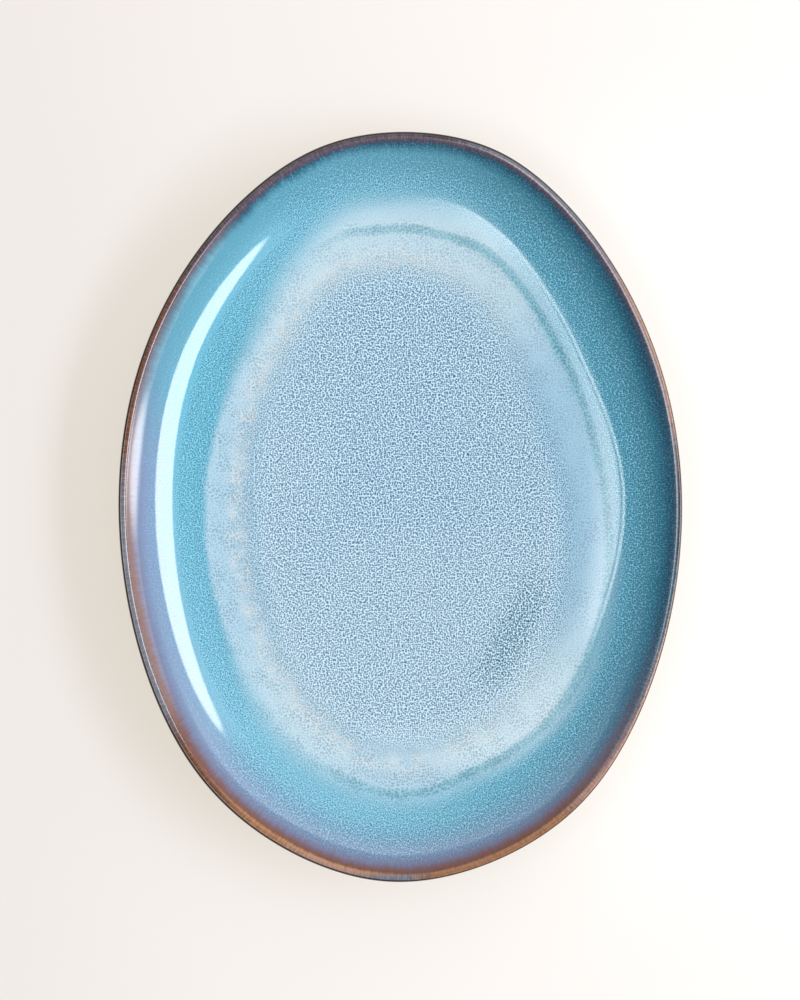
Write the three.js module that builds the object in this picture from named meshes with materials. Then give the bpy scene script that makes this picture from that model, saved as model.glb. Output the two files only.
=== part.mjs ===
// Oval coupe serving platter: a stoneware slab with a curved wall, a foot ring and melted-on glazes.
// Millimetres, +Z up, long axis along Y, origin on the table under the middle of the outline.
import * as THREE from "three";

// Overall size over the glaze
const LENGTH = 370;
const WIDTH = 278;
const HEIGHT = 33;

// The outline is an ellipse with three sets of shallow lobes, the unevenness of a hand-pressed lip
const LOBES = [
  { count: 3, height: 1.11, bearing: THREE.MathUtils.degToRad(81) },
  { count: 4, height: 0.49, bearing: THREE.MathUtils.degToRad(53) },
  { count: 7, height: 0.57, bearing: THREE.MathUtils.degToRad(10.4) },
];

// Section of the slab, over the glaze
const FLOOR_THICKNESS = 7;
const GLAZE_THICKNESS = 0.6;

// The lip rolls gently inward from its crest and turns down sharply outside
const LIP_INNER_RADIUS = 3.5;
const LIP_OUTER_RADIUS = 1.6;

// Distances in from the outline to where the floor and the underside start to curve up
const FLOOR_INSET = 55;
const UNDERSIDE_INSET = 54;

// Foot ring, with rounded lower edges, and the clay left bare beside it
const FOOT_HEIGHT = 4.5;
const FOOT_WIDTH = 7;
const FOOT_INSET = 58;
const FOOT_ROUNDING = 1.5;
const BARE_MARGIN = 3;

// Outer edges of the border and wall coats and lower edge of the rim coat, as distances in from the outline
const BORDER_INSET = 40;
const RIM_INNER_INSET = 9;
const RIM_OUTER_INSET = 6;

// Fineness of the facets
const STEPS_AROUND = 64;
const WALL_STEP = THREE.MathUtils.degToRad(8);
const LIP_STEP = THREE.MathUtils.degToRad(30);
const FOOT_ROUNDING_STEP = THREE.MathUtils.degToRad(45);

const QUARTER_TURN = Math.PI / 2;
const HALF_TURN = Math.PI;

// Oval outline

// How far the lobes stand out from the ellipse at a bearing, and how fast that changes with the bearing.
function lobeRise(bearing) {
  return LOBES.reduce((sum, lobe) => sum + lobe.height * Math.cos(lobe.count * (bearing - lobe.bearing)), 0);
}

function lobeShift(bearing) {
  return LOBES.reduce(
    (sum, lobe) => sum - lobe.count * lobe.height * Math.sin(lobe.count * (bearing - lobe.bearing)),
    0,
  );
}

// Half axes of the ellipse that, with its lobes, has the overall size, and the middle of that outline.
const halfWidth = (WIDTH - lobeRise(0) - lobeRise(HALF_TURN)) / 2;
const halfLength = (LENGTH - lobeRise(QUARTER_TURN) - lobeRise(-QUARTER_TURN)) / 2;
const middle = new THREE.Vector2(
  (lobeRise(0) - lobeRise(HALF_TURN)) / 2,
  (lobeRise(QUARTER_TURN) - lobeRise(-QUARTER_TURN)) / 2,
);

// The point that lies a given distance in from the outline, where the outline faces the bearing. It is
// found from the ellipse's tangent line that faces the bearing, and the lobes die out towards the floor.
function planPoint(bearing, inset) {
  const ellipse = Math.hypot(halfWidth * Math.cos(bearing), halfLength * Math.sin(bearing));
  const ellipseShift = ((halfLength ** 2 - halfWidth ** 2) * Math.sin(bearing) * Math.cos(bearing)) / ellipse;
  const lobeShare = Math.max(0, 1 - inset / FLOOR_INSET);
  const out = ellipse - inset + lobeShare * lobeRise(bearing);
  const along = ellipseShift + lobeShare * lobeShift(bearing);
  return new THREE.Vector2(
    out * Math.cos(bearing) - along * Math.sin(bearing),
    out * Math.sin(bearing) + along * Math.cos(bearing),
  ).sub(middle);
}

// Section through the wall

// A station is a point of the glazed surface: its inset, its height and its tilt, the angle from straight
// up to its outward normal, positive away from the middle. An inset of Infinity stands for the middle.
function station(inset, height, tilt) {
  return { inset, height, tilt };
}

// The section point at a depth below a station's glazed surface.
function belowStation({ inset, height, tilt }, depth) {
  return { inset: inset + depth * Math.sin(tilt), height: height - depth * Math.cos(tilt) };
}

// Stations along a circular arc. A negative radius gives a hollow arc, whose normals point to its centre.
function arcStations(centre, radius, startTilt, endTilt, step) {
  const count = Math.max(1, Math.ceil(Math.abs(endTilt - startTilt) / step));
  return Array.from({ length: count + 1 }, (_, i) => {
    const tilt = startTilt + ((endTilt - startTilt) * i) / count;
    return station(centre.inset - radius * Math.sin(tilt), centre.height + radius * Math.cos(tilt), tilt);
  });
}

// Runs of stations joined end to end, with each shared end kept once.
function joinRuns(...runs) {
  return runs.flatMap((run, index) => (index === 0 ? run : run.slice(1)));
}

const underside = FOOT_HEIGHT;
const floor = underside + FLOOR_THICKNESS;
const innerLip = { inset: LIP_OUTER_RADIUS, height: HEIGHT - LIP_INNER_RADIUS };
const outerLip = { inset: LIP_OUTER_RADIUS, height: HEIGHT - LIP_OUTER_RADIUS };

// The hollow inner arc leaves the floor level and runs on into the inner side of the lip.
const innerRun = FLOOR_INSET - innerLip.inset;
const innerRise = innerLip.height - floor;
const innerRadius =
  (innerRun ** 2 + innerRise ** 2 - LIP_INNER_RADIUS ** 2) / (2 * (innerRise + LIP_INNER_RADIUS));
const innerCentre = { inset: FLOOR_INSET, height: floor + innerRadius };
const innerLipTilt = -Math.atan2(innerRun, innerRadius - innerRise);
const borderTilt = -Math.asin((FLOOR_INSET - BORDER_INSET) / innerRadius);
const innerRimTilt = -Math.asin((FLOOR_INSET - RIM_INNER_INSET) / innerRadius);

// The outer arc leaves the underside level and runs on into the outer side of the lip.
const outerRun = UNDERSIDE_INSET - outerLip.inset;
const outerRise = outerLip.height - underside;
const outerRadius =
  (outerRun ** 2 + outerRise ** 2 - LIP_OUTER_RADIUS ** 2) / (2 * (outerRise - LIP_OUTER_RADIUS));
const outerCentre = { inset: UNDERSIDE_INSET, height: underside + outerRadius };
const outerLipTilt = HALF_TURN - Math.atan2(outerRun, outerRadius - outerRise);
const outerRimTilt = HALF_TURN - Math.asin((UNDERSIDE_INSET - RIM_OUTER_INSET) / outerRadius);

// Glaze zones from the middle of the floor over the lip to the middle of the underside
const floorMiddle = station(Infinity, floor, 0);
const floorEdge = station(FLOOR_INSET, floor, 0);
const outerGlazeEdge = station(FOOT_INSET - BARE_MARGIN, underside, HALF_TURN);
const baseGlazeEdge = station(FOOT_INSET + FOOT_WIDTH + BARE_MARGIN, underside, HALF_TURN);
const undersideMiddle = station(Infinity, underside, HALF_TURN);

const wellZone = [floorMiddle, floorEdge];
const borderZone = arcStations(innerCentre, -innerRadius, 0, borderTilt, WALL_STEP);
const wallZone = arcStations(innerCentre, -innerRadius, borderTilt, innerRimTilt, WALL_STEP);
const rimZone = joinRuns(
  arcStations(innerCentre, -innerRadius, innerRimTilt, innerLipTilt, WALL_STEP),
  arcStations(innerLip, LIP_INNER_RADIUS, innerLipTilt, 0, LIP_STEP),
  arcStations(outerLip, LIP_OUTER_RADIUS, 0, QUARTER_TURN, LIP_STEP),
  arcStations(outerLip, LIP_OUTER_RADIUS, QUARTER_TURN, outerLipTilt, LIP_STEP),
  arcStations(outerCentre, outerRadius, outerLipTilt, outerRimTilt, WALL_STEP),
);
const outerZone = [
  ...arcStations(outerCentre, outerRadius, outerRimTilt, HALF_TURN, WALL_STEP),
  outerGlazeEdge,
];
const baseZone = [baseGlazeEdge, undersideMiddle];

// Solids

// Sweeps a closed or middle-to-middle section round the oval into one closed solid. The section runs with
// the solid on its left, seen with insets growing to the right and heights growing up.
function sweepSection(section) {
  const positions = [];
  const triangles = [];
  const rings = section.map(({ inset, height }) => {
    const start = positions.length / 3;
    if (inset === Infinity) {
      positions.push(0, 0, height);
      return { start, middle: true };
    }
    for (let step = 0; step < STEPS_AROUND; step += 1) {
      const point = planPoint((2 * HALF_TURN * step) / STEPS_AROUND, inset);
      positions.push(point.x, point.y, height);
    }
    return { start, middle: false };
  });
  section.forEach((from, index) => {
    const nextIndex = (index + 1) % section.length;
    const to = section[nextIndex];
    const a = rings[index];
    const b = rings[nextIndex];
    if (a.middle && b.middle) {
      return;
    }
    // The same diagonal whichever way the section runs, so that touching faces match
    const fromFirst = from.inset < to.inset || (from.inset === to.inset && from.height < to.height);
    for (let step = 0; step < STEPS_AROUND; step += 1) {
      const next = (step + 1) % STEPS_AROUND;
      if (a.middle) {
        triangles.push(a.start, b.start + step, b.start + next);
      } else if (b.middle) {
        triangles.push(a.start + step, b.start, a.start + next);
      } else if (fromFirst) {
        triangles.push(a.start + step, b.start + step, b.start + next);
        triangles.push(a.start + step, b.start + next, a.start + next);
      } else {
        triangles.push(a.start + step, b.start + step, a.start + next);
        triangles.push(b.start + step, b.start + next, a.start + next);
      }
    }
  });
  const geometry = new THREE.BufferGeometry();
  geometry.setAttribute("position", new THREE.Float32BufferAttribute(positions, 3));
  geometry.setIndex(triangles);
  geometry.computeVertexNormals();
  return geometry;
}

// A coat of glaze over the stations of its zone.
function glazeCoat(zone) {
  const surface = zone.map((point) => belowStation(point, 0));
  const underface = zone.map((point) => belowStation(point, GLAZE_THICKNESS));
  return sweepSection([...surface, ...underface.reverse()]);
}

// The clay under all the zones, bare where the underside has no coat.
function stonewareBody() {
  const stations = [...joinRuns(wellZone, borderZone, wallZone, rimZone, outerZone), ...baseZone];
  return sweepSection(stations.map((point) => belowStation(point, GLAZE_THICKNESS)));
}

// A quarter round of the foot's lower edge about its centre.
function footRounding(centreInset, startTilt, endTilt) {
  const centre = { inset: centreInset, height: FOOT_ROUNDING };
  return arcStations(centre, FOOT_ROUNDING, startTilt, endTilt, FOOT_ROUNDING_STEP);
}

// The bare foot, from the clay of the underside down to the table.
function footRing() {
  const seat = underside + GLAZE_THICKNESS;
  const innerInset = FOOT_INSET + FOOT_WIDTH;
  return sweepSection([
    { inset: innerInset, height: seat },
    { inset: FOOT_INSET, height: seat },
    ...footRounding(FOOT_INSET + FOOT_ROUNDING, QUARTER_TURN, HALF_TURN),
    ...footRounding(innerInset - FOOT_ROUNDING, HALF_TURN, HALF_TURN + QUARTER_TURN),
  ]);
}

// Finishes

const bareStoneware = { color: 0x9c8672, roughness: 0.9 };
const paleBlueGlaze = { color: 0xa9c9dc, roughness: 0.2 };
const meltedGlaze = { color: 0xb9d6e4, roughness: 0.2 };
const turquoiseGlaze = { color: 0x6cb0cc, roughness: 0.15 };
const ironBrownGlaze = { color: 0x6f5348, roughness: 0.25 };
const deepBlueGlaze = { color: 0x3f6f87, roughness: 0.2 };

const platter = new THREE.Group();

function addPiece(name, geometry, finish) {
  const mesh = new THREE.Mesh(geometry, new THREE.MeshStandardMaterial({ ...finish, metalness: 0 }));
  mesh.name = name;
  platter.add(mesh);
}

addPiece("stoneware_body", stonewareBody(), bareStoneware);
addPiece("foot_ring", footRing(), bareStoneware);
addPiece("well_glaze", glazeCoat(wellZone), paleBlueGlaze);
addPiece("well_border_glaze", glazeCoat(borderZone), meltedGlaze);
addPiece("wall_glaze", glazeCoat(wallZone), turquoiseGlaze);
addPiece("rim_glaze", glazeCoat(rimZone), ironBrownGlaze);
addPiece("outer_glaze", glazeCoat(outerZone), deepBlueGlaze);
addPiece("base_glaze", glazeCoat(baseZone), deepBlueGlaze);

export default platter;
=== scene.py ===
"""Oval stoneware serving platter under reactive glazes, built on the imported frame."""

import math
from collections import namedtuple

import bpy
import numpy as np
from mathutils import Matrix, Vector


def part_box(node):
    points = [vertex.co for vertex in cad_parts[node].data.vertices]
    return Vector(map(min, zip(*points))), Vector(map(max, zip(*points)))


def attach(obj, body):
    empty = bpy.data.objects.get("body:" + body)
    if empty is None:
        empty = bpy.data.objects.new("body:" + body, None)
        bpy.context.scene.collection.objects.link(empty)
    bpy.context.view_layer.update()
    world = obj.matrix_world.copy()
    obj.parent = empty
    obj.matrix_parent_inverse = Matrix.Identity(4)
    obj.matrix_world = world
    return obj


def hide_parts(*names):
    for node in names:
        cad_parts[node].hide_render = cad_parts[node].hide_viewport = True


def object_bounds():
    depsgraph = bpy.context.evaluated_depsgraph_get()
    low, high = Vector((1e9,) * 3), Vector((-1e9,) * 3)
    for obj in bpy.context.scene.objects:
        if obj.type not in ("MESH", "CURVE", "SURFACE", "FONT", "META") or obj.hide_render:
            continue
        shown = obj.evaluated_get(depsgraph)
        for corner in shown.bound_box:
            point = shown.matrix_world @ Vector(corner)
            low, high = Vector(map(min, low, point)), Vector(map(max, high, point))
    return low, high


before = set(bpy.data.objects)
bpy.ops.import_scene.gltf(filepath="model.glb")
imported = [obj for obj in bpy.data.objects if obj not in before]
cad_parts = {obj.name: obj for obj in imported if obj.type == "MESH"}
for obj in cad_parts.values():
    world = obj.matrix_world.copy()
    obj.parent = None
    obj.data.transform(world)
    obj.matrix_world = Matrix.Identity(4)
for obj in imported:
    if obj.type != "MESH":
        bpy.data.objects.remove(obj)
cad_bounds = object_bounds()

MM = 0.001


def node_size(node):
    """Extent of a CAD node along X, Y and Z."""
    low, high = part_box(node)
    return high - low


# Lobes of the hand-pressed lip, as in the part's source: their count, height and bearing
LOBES = [
    (3, 1.11 * MM, math.radians(81)),
    (4, 0.49 * MM, math.radians(53)),
    (7, 0.57 * MM, math.radians(10.4)),
]


def lobe_rise(bearing):
    """How far the lobes stand out from the ellipse."""
    return sum(height * np.cos(count * (bearing - middle)) for count, height, middle in LOBES)


def lobe_shift(bearing):
    """How fast that changes with the bearing."""
    return sum(-count * height * np.sin(count * (bearing - middle)) for count, height, middle in LOBES)


# Sizes read from the frame, over the glaze; insets are distances in from the platter's outline
WIDTH, LENGTH, HEIGHT = cad_bounds[1] - cad_bounds[0]
HALF_WIDTH = (WIDTH - lobe_rise(0) - lobe_rise(np.pi)) / 2
HALF_LENGTH = (LENGTH - lobe_rise(np.pi / 2) - lobe_rise(-np.pi / 2)) / 2
GLAZE = node_size("well_glaze").z
FLOOR_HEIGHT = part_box("well_glaze")[1].z
UNDERSIDE_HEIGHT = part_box("base_glaze")[0].z
FOOT_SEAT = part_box("foot_ring")[1].z
FLOOR_INSET = HALF_WIDTH - node_size("well_glaze").x / 2
BASE_INSET = HALF_WIDTH - node_size("base_glaze").x / 2
FOOT_INSET = HALF_WIDTH - node_size("foot_ring").x / 2

# Sizes of the section that no node's box gives, as in the part's source
LIP_INNER_RADIUS = 3.5 * MM
LIP_OUTER_RADIUS = 1.6 * MM
UNDERSIDE_INSET = 54 * MM
BORDER_INSET = 40 * MM
RIM_INNER_INSET = 9 * MM
RIM_OUTER_INSET = 6 * MM
FOOT_WIDTH = 7 * MM
FOOT_ROUNDING = 1.5 * MM
BARE_MARGIN = 3 * MM

# Inset at which lengths round the platter are measured, about halfway up the wall
GIRTH_INSET = 25 * MM

# Unevenness of hand pressing: of the lip, of the wall, of the floor and of the glaze's bare edges
LIP_WAVE = 0.3 * MM
WALL_SWELL = 0.12 * MM
FLOOR_SAG = 0.35 * MM
GLAZE_WANDER = 0.8 * MM

# Fineness of the meshes
COLUMNS = 360
WELL_ROWS = 30
BORDER_ROWS = 12
WALL_ROWS = 30
RIM_ROWS = 8
LIP_ROWS = 10
OUTER_ROWS = 30
BARE_ROWS = 6
BASE_ROWS = 20
ROLL_ROWS = 5
FOOT_ROWS = 6

BEARINGS = np.linspace(0, 2 * np.pi, COLUMNS, endpoint=False)
FACING = np.column_stack([np.cos(BEARINGS), np.sin(BEARINGS), np.zeros(COLUMNS)])
UP = np.array([0.0, 0.0, 1.0])
TINY = 1e-9


# Oval outline

MIDDLE = np.array([lobe_rise(0) - lobe_rise(np.pi), lobe_rise(np.pi / 2) - lobe_rise(-np.pi / 2)]) / 2
ELLIPSE = np.hypot(HALF_WIDTH * np.cos(BEARINGS), HALF_LENGTH * np.sin(BEARINGS))


def plan_points(inset):
    """Points at an inset, where the outline faces each bearing; the lobes die out towards the floor."""
    ellipse_shift = (HALF_LENGTH**2 - HALF_WIDTH**2) * np.sin(BEARINGS) * np.cos(BEARINGS) / ELLIPSE
    lobe_share = np.maximum(0, 1 - inset / FLOOR_INSET)
    out = ELLIPSE - inset + lobe_share * lobe_rise(BEARINGS)
    along = ellipse_shift + lobe_share * lobe_shift(BEARINGS)
    x = out * np.cos(BEARINGS) - along * np.sin(BEARINGS)
    y = out * np.sin(BEARINGS) + along * np.cos(BEARINGS)
    return np.column_stack([x, y]) - MIDDLE


def waves(amplitude, *harmonics):
    """A periodic unevenness round the outline, from pairs of a count and a phase in degrees."""
    total = sum(np.cos(count * BEARINGS - math.radians(phase)) / count for count, phase in harmonics)
    return amplitude * total / np.abs(total).max()


# Section through the wall

# One line of points round the platter. The tilt is from straight up, positive outward, and shrink is the
# share to which the floor's edge is drawn in towards the middle.
Row = namedtuple("Row", "inset height tilt shrink")


def arc(centre, radius, start, end, count):
    """Rows along a circular arc between two tilts; a negative radius gives a hollow arc."""
    tilts = np.linspace(start, end, count + 1)
    return [Row(centre[0] - radius * np.sin(t), centre[1] + radius * np.cos(t), t, 1.0) for t in tilts]


inner_lip = (LIP_OUTER_RADIUS, HEIGHT - LIP_INNER_RADIUS)
outer_lip = (LIP_OUTER_RADIUS, HEIGHT - LIP_OUTER_RADIUS)

inner_run = FLOOR_INSET - inner_lip[0]
inner_rise = inner_lip[1] - FLOOR_HEIGHT
inner_radius = (inner_run**2 + inner_rise**2 - LIP_INNER_RADIUS**2) / (2 * (inner_rise + LIP_INNER_RADIUS))
inner_centre = (FLOOR_INSET, FLOOR_HEIGHT + inner_radius)
inner_lip_tilt = -math.atan2(inner_run, inner_radius - inner_rise)
border_tilt = -math.asin((FLOOR_INSET - BORDER_INSET) / inner_radius)
inner_rim_tilt = -math.asin((FLOOR_INSET - RIM_INNER_INSET) / inner_radius)

outer_run = UNDERSIDE_INSET - outer_lip[0]
outer_rise = outer_lip[1] - UNDERSIDE_HEIGHT
outer_radius = (outer_run**2 + outer_rise**2 - LIP_OUTER_RADIUS**2) / (2 * (outer_rise - LIP_OUTER_RADIUS))
outer_centre = (UNDERSIDE_INSET, UNDERSIDE_HEIGHT + outer_radius)
outer_lip_tilt = math.pi - math.atan2(outer_run, outer_radius - outer_rise)
outer_rim_tilt = math.pi - math.asin((UNDERSIDE_INSET - RIM_OUTER_INSET) / outer_radius)

outer_edge = FOOT_INSET - BARE_MARGIN + waves(GLAZE_WANDER, (3, 20), (7, 140), (11, 250), (19, 60))
base_edge = BASE_INSET + waves(GLAZE_WANDER, (2, 80), (5, 10), (9, 200), (17, 120))


def flat(start, end, count):
    """Rows along the flat underside between two insets."""
    shares = np.linspace(0, 1, count + 1)
    return [Row(start + (end - start) * s, UNDERSIDE_HEIGHT, math.pi, 1.0) for s in shares]


# Zones from the middle of the floor over the lip to the middle of the underside; each shares its ends
zones = {
    "well": [Row(FLOOR_INSET, FLOOR_HEIGHT, 0.0, s) for s in np.linspace(0, 1, WELL_ROWS + 1)],
    "border": arc(inner_centre, -inner_radius, 0, border_tilt, BORDER_ROWS),
    "wall": arc(inner_centre, -inner_radius, border_tilt, inner_rim_tilt, WALL_ROWS),
    "rim": arc(inner_centre, -inner_radius, inner_rim_tilt, inner_lip_tilt, RIM_ROWS)
    + arc(inner_lip, LIP_INNER_RADIUS, inner_lip_tilt, 0, LIP_ROWS)[1:]
    + arc(outer_lip, LIP_OUTER_RADIUS, 0, math.pi / 2, LIP_ROWS)[1:]
    + arc(outer_lip, LIP_OUTER_RADIUS, math.pi / 2, outer_lip_tilt, LIP_ROWS)[1:]
    + arc(outer_centre, outer_radius, outer_lip_tilt, outer_rim_tilt, RIM_ROWS)[1:],
    "outer": arc(outer_centre, outer_radius, outer_rim_tilt, math.pi, OUTER_ROWS)
    + flat(UNDERSIDE_INSET, outer_edge, 2)[1:],
    "bare": flat(outer_edge, base_edge, BARE_ROWS),
    "base": [Row(base_edge, UNDERSIDE_HEIGHT, math.pi, s) for s in np.linspace(1, 0, BASE_ROWS + 1)],
}

rows = []
zone_rows = {}
for zone, members in zones.items():
    first = len(rows) - 1 if rows else 0
    rows += members[1:] if rows else members
    zone_rows[zone] = slice(first, len(rows))

# The glazed skin, its normals and the clay that lies a coat's thickness below it
lip_wave = waves(LIP_WAVE, (2, 30), (3, 110), (5, 250))
wall_swell = waves(WALL_SWELL, (9, 0), (4, 300))


def skin_ring(row):
    """Points of one row, with the lip's rise and fall, the wall's swell and the floor's sag."""
    plan = plan_points(row.inset) * row.shrink
    share = np.clip(1 - row.inset / FLOOR_INSET, 0, 1)
    swell = wall_swell * np.sin(2 * np.pi * share) * (row.tilt < 0)
    height = row.height + lip_wave * share**2 + swell - FLOOR_SAG * (1 - row.shrink**2) ** 2
    return np.column_stack([plan, np.broadcast_to(height, COLUMNS)])


def unit(vectors):
    """Vectors scaled to a length of one."""
    return vectors / np.maximum(np.linalg.norm(vectors, axis=-1, keepdims=True), TINY)


def skin_normals(points):
    """Normals of rows of points, from their slopes across and around the platter."""
    steps = np.linalg.norm(np.diff(points, axis=0), axis=2).mean(axis=1)
    across = np.gradient(points, np.concatenate([[0], np.cumsum(steps)]), axis=0)
    around = np.roll(points, -1, axis=1) - np.roll(points, 1, axis=1)
    facing = unit(np.cross(across, around))
    facing[0] = UP
    facing[-1] = -UP
    return facing


skin = np.array([skin_ring(row) for row in rows])
normals = skin_normals(skin)
clay = skin - GLAZE * normals

# Reach in millimetres: the inset on the inner side, minus the length run from the lip on the outer side
lip_row = next(i for i, row in enumerate(rows) if row.tilt >= math.pi / 2 - TINY)
outward = np.cumsum(np.linalg.norm(np.diff(skin[lip_row:], axis=0), axis=2), axis=0)
floor_span = ELLIPSE - FLOOR_INSET
reach = np.array([row.inset + (1 - row.shrink) * floor_span for row in rows])
reach[lip_row] = 0
reach[lip_row + 1 :] = -outward
reach /= MM

# Millimetres round the platter to each column, closed at the last
girth_line = plan_points(GIRTH_INSET)
girth_steps = np.linalg.norm(np.roll(girth_line, -1, axis=0) - girth_line, axis=1)
girth = np.concatenate([[0], np.cumsum(girth_steps)]) / MM


# Pieces

Ring = namedtuple("Ring", "points normals reach")


def ring(points, facing, values, middle=False):
    """A line of points round the platter, or its one point in the middle."""
    values = np.broadcast_to(values, COLUMNS)
    if middle:
        return Ring(points[:1], facing[:1], values[:1])
    return Ring(points, facing, values)


def zone_rings(zone, surface, sign):
    """Rings of a zone on the skin or on the clay."""
    span = range(len(rows))[zone_rows[zone]]
    return [ring(surface[i], sign * normals[i], reach[i], i in (0, len(rows) - 1)) for i in span]


def rolled_edge(index, outward_sign):
    """Rings that round a coat's bare edge down to the clay."""
    rings = []
    for angle in np.linspace(0, math.pi / 2, ROLL_ROWS + 1)[1:]:
        sideways = outward_sign * FACING
        points = skin[index] + GLAZE * (math.sin(angle) * sideways - (1 - math.cos(angle)) * normals[index])
        facing = math.cos(angle) * normals[index] + math.sin(angle) * sideways
        rings.append(ring(points, facing, reach[index]))
    return rings


Corners = namedtuple("Corners", "span ring column point")


def face_corners(i, size, next_size):
    """Corners of one face between ring i and the next, as pairs of a ring and a step along it."""
    if size == 1:
        return [(i, 0), (i + 1, 0), (i + 1, 1)]
    if next_size == 1:
        return [(i, 0), (i + 1, 0), (i, 1)]
    return [(i, 0), (i + 1, 0), (i + 1, 1), (i, 1)]


def sweep(name, rings, shown, bake):
    """A closed mesh through the rings; `shown` is the range of the spans between them that can be seen."""
    starts = np.concatenate([[0], np.cumsum([len(r.points) for r in rings])])
    points = np.concatenate([r.points for r in rings])
    facing = np.concatenate([r.normals for r in rings])
    reaches = np.concatenate([r.reach for r in rings])
    columns = np.arange(COLUMNS)
    faces, corner_spans, corner_rings, corner_columns = [], [], [], []
    for i in range(len(rings)):
        sizes = len(rings[i].points), len(rings[(i + 1) % len(rings)].points)
        if sizes == (1, 1):
            continue
        pattern = face_corners(i, *sizes)
        members = [(r % len(rings), c) for r, c in pattern]
        vertices = [starts[r] + (columns + c) % len(rings[r].points) for r, c in members]
        faces += np.column_stack(vertices).tolist()
        corner_spans += [np.full(COLUMNS * len(pattern), i)]
        corner_rings += [np.tile([r for r, _ in pattern], COLUMNS)]
        corner_columns += [(columns[:, None] + [c for _, c in pattern]).ravel()]
    mesh = bpy.data.meshes.new(name)
    mesh.from_pydata(points.tolist(), [], faces)
    vertex = np.zeros(len(mesh.loops), int)
    mesh.loops.foreach_get("vertex_index", vertex)
    layout = [np.concatenate(part) for part in (corner_spans, corner_rings, corner_columns)]
    corners = Corners(*layout, points[vertex])

    mesh.attributes.new("reach", "FLOAT", "POINT").data.foreach_set("value", reaches)
    bearing = np.concatenate([FACING if len(r.points) > 1 else np.zeros((1, 3)) for r in rings])
    mesh.attributes.new("facing", "FLOAT_VECTOR", "POINT").data.foreach_set("vector", bearing.ravel())
    run = np.column_stack([girth[corners.column], reaches[vertex]])
    mesh.uv_layers.new(name="GlazeRun").data.foreach_set("uv", run.ravel())
    mesh.uv_layers.new(name="OFBake").data.foreach_set("uv", bake(rings, shown, corners).ravel())

    mesh.polygons.foreach_set("use_smooth", np.ones(len(faces), bool))
    mesh.normals_split_custom_set_from_vertices(facing.tolist())
    piece = bpy.data.objects.new(name, mesh)
    bpy.context.scene.collection.objects.link(piece)
    return piece


# Layouts for baking, in shares of the baked picture

# Strips: the margin at their ends, where each starts and how much it fills of its row, and the rows of the
# hidden side above it
STRIP_MARGIN = 0.02
STRIP_START = 0.06
STRIP_FILL = 0.8
STRIP_HIDDEN = (1.02, 1.08)

# Plans: the margin, and the margin and scale of the hidden side
PLAN_MARGIN = 0.01
ASIDE_MARGIN = 0.02
ASIDE_SCALE = 0.3


def bake_strips(count):
    """A layout that cuts a ring into strips, one above another, with its hidden side along their edges."""

    def layout(rings, shown, corners):
        lengths = [np.linalg.norm(b.points - a.points, axis=1).mean() for a, b in zip(rings, rings[1:])]
        seen = np.concatenate([[0], np.cumsum(lengths[: shown.stop])])
        hidden = np.linspace(*STRIP_HIDDEN, len(rings) - shown.stop)
        height = np.concatenate([seen / seen[-1], hidden])[corners.ring]
        columns_each = COLUMNS // count
        strip = corners.column.reshape(-1, 4).min(axis=1).repeat(4) // columns_each
        longest = max(girth[(s + 1) * columns_each] - girth[s * columns_each] for s in range(count))
        run = (girth[corners.column] - girth[strip * columns_each]) / longest
        u = STRIP_MARGIN + (1 - 2 * STRIP_MARGIN) * run
        v = (strip + STRIP_START + STRIP_FILL * height) / count
        return np.column_stack([u, v])

    return layout


def bake_plan(rings, shown, corners):
    """A layout seen from above or below, with the hidden side drawn small beside it."""
    plan = corners.point[:, :2] - corners.point[:, :2].min(axis=0)
    extent = plan.max(axis=0)
    plan /= extent.max()
    main = PLAN_MARGIN + (1 - 2 * PLAN_MARGIN) * plan
    aside = np.array([ASIDE_MARGIN + extent[0] / extent.max(), ASIDE_MARGIN]) + ASIDE_SCALE * plan
    hidden = (corners.span < shown.start) | (corners.span >= shown.stop)
    return np.where(hidden[:, None], aside, main)


# Materials


def srgb(red, green, blue):
    """A colour written as on screen, turned into the linear values that the shader takes."""
    channels = np.array([red, green, blue]) / 255
    linear = np.where(channels <= 0.04045, channels / 12.92, ((channels + 0.055) / 1.055) ** 2.4)
    return (*linear, 1.0)


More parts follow.
